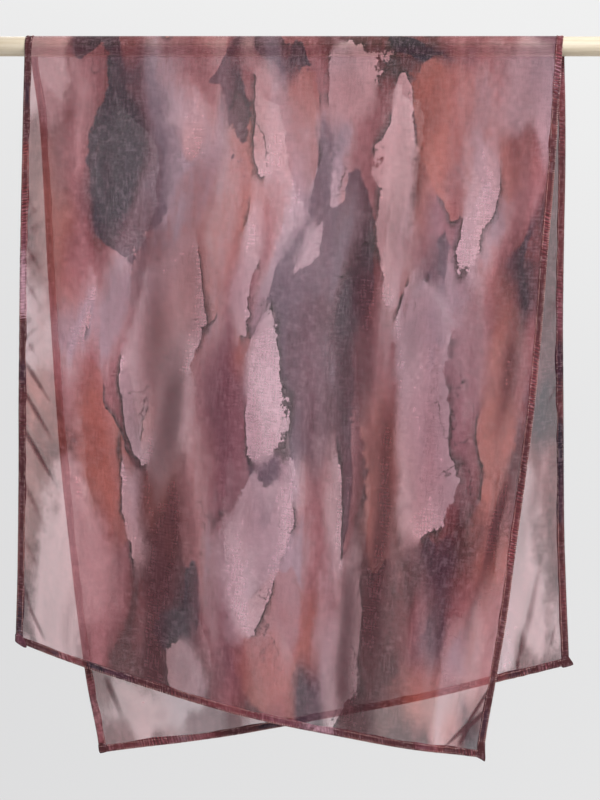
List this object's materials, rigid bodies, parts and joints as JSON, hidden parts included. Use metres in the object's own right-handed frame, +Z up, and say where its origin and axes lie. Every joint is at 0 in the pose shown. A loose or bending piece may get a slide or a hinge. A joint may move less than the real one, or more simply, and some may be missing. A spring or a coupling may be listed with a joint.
{
  "type": "sheer hijab draped over a hanging rod",
  "caption": "Long sheer rectangular headscarf with narrow turned hems, folded over a plain round wooden rod so that its front and back fall cross at a slant.",
  "frame": {"origin": "the middle of the rod's axis", "axes": "+X along the rod to the viewer's right, +Y away from the viewer, +Z up"},
  "size_m": [0.86, 0.0574, 0.9618],
  "materials": {
    "cloth": "sheer plain-weave voile with a soft watercolour print in dusty pink, mauve, rust, plum and charcoal",
    "hem": "the same voile in several layers, turned and stitched",
    "wood": "pale smooth wood, matt lacquer"
  },
  "bodies": {
    "root": {"rod": "wood", "front_drop": "cloth", "rod_turn": "cloth", "back_drop": "cloth", "front_left_hem": "hem", "front_right_hem": "hem", "front_foot_hem": "hem", "turn_left_hem": "hem", "turn_right_hem": "hem", "back_left_hem": "hem", "back_right_hem": "hem", "back_foot_hem": "hem"}
  },
  "joints": []
}
